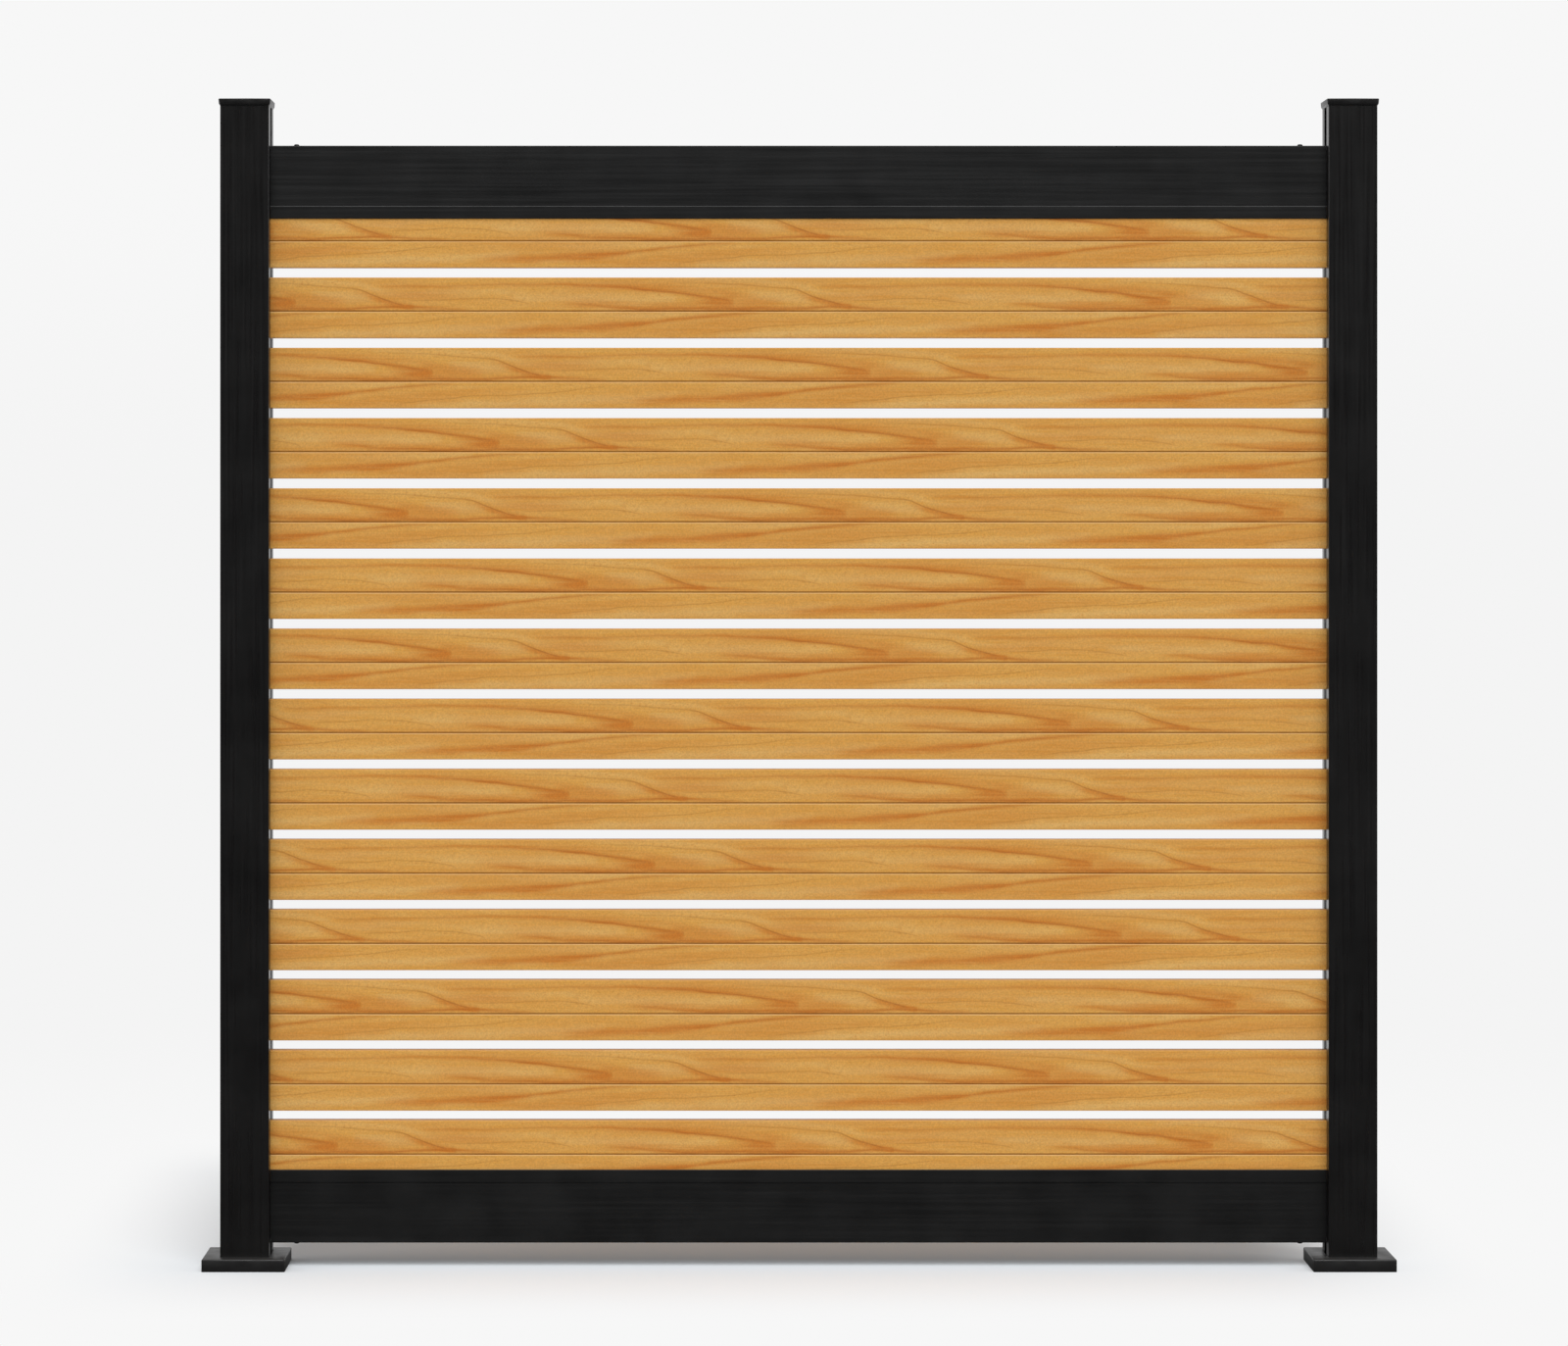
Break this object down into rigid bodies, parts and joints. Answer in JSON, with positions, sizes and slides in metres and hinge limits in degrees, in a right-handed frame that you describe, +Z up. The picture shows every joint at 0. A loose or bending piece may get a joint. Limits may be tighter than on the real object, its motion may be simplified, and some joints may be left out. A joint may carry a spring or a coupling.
{
  "type": "garden privacy screen",
  "caption": "Free-standing garden privacy screen: two square black posts on flanged feet, black top and bottom rails, and wood-look horizontal slats with narrow open gaps.",
  "frame": {"origin": "on the floor, midway between the two posts and halfway through their depth", "axes": "+X along the panel to the right seen from the front, front faces -Y, +Z up"},
  "size_m": [1.853, 0.129, 1.8238],
  "materials": {
    "post_coat": "extruded aluminium, black powder coat, satin",
    "rail_coat": "extruded aluminium, black powder coat, matte",
    "casting_coat": "cast aluminium, black textured powder coat, satin",
    "wood_grain": "extruded aluminium with a baked wood-grain print, satin",
    "spacer_nylon": "moulded black nylon, matte",
    "plate_metal": "sawn aluminium plate, mill finish, satin",
    "zinc_steel": "folded steel, zinc plated, satin",
    "black_screw": "steel, blackened, satin"
  },
  "bodies": {
    "screen": {"left_post": "post_coat", "left_post_cap": "casting_coat", "left_base_plate": "plate_metal", "right_post": "post_coat", "right_post_cap": "casting_coat", "right_base_plate": "plate_metal", "top_rail": "rail_coat", "bottom_rail": "rail_coat", "slat_01": "wood_grain", "slat_02": "wood_grain", "slat_03": "wood_grain", "slat_04": "wood_grain", "slat_05": "wood_grain", "slat_06": "wood_grain", "slat_07": "wood_grain", "slat_08": "wood_grain", "slat_09": "wood_grain", "slat_10": "wood_grain", "slat_11": "wood_grain", "slat_12": "wood_grain", "slat_13": "wood_grain", "slat_14": "wood_grain", "left_spacer_01": "spacer_nylon", "left_spacer_02": "spacer_nylon", "left_spacer_03": "spacer_nylon", "left_spacer_04": "spacer_nylon", "left_spacer_05": "spacer_nylon", "left_spacer_06": "spacer_nylon", "left_spacer_07": "spacer_nylon", "left_spacer_08": "spacer_nylon", "left_spacer_09": "spacer_nylon", "left_spacer_10": "spacer_nylon", "left_spacer_11": "spacer_nylon", "left_spacer_12": "spacer_nylon", "left_spacer_13": "spacer_nylon", "right_spacer_01": "spacer_nylon", "right_spacer_02": "spacer_nylon", "right_spacer_03": "spacer_nylon", "right_spacer_04": "spacer_nylon", "right_spacer_05": "spacer_nylon", "right_spacer_06": "spacer_nylon", "right_spacer_07": "spacer_nylon", "right_spacer_08": "spacer_nylon", "right_spacer_09": "spacer_nylon", "right_spacer_10": "spacer_nylon", "right_spacer_11": "spacer_nylon", "right_spacer_12": "spacer_nylon", "right_spacer_13": "spacer_nylon", "top_left_bracket": "zinc_steel", "top_right_bracket": "zinc_steel", "bottom_left_bracket": "zinc_steel", "bottom_right_bracket": "zinc_steel", "top_left_screw": "black_screw", "top_right_screw": "black_screw", "bottom_left_screw": "black_screw", "bottom_right_screw": "black_screw"},
    "left_cover": {"left_base_cover": "casting_coat"},
    "right_cover": {"right_base_cover": "casting_coat"}
  },
  "joints": [
    {"name": "left_cover_slide", "type": "slide", "parent": "screen", "child": "left_cover", "axis": [0, 0, 1], "range_m": [0, 0.018]},
    {"name": "right_cover_slide", "type": "slide", "parent": "screen", "child": "right_cover", "axis": [0, 0, 1], "range_m": [0, 0.018]}
  ]
}
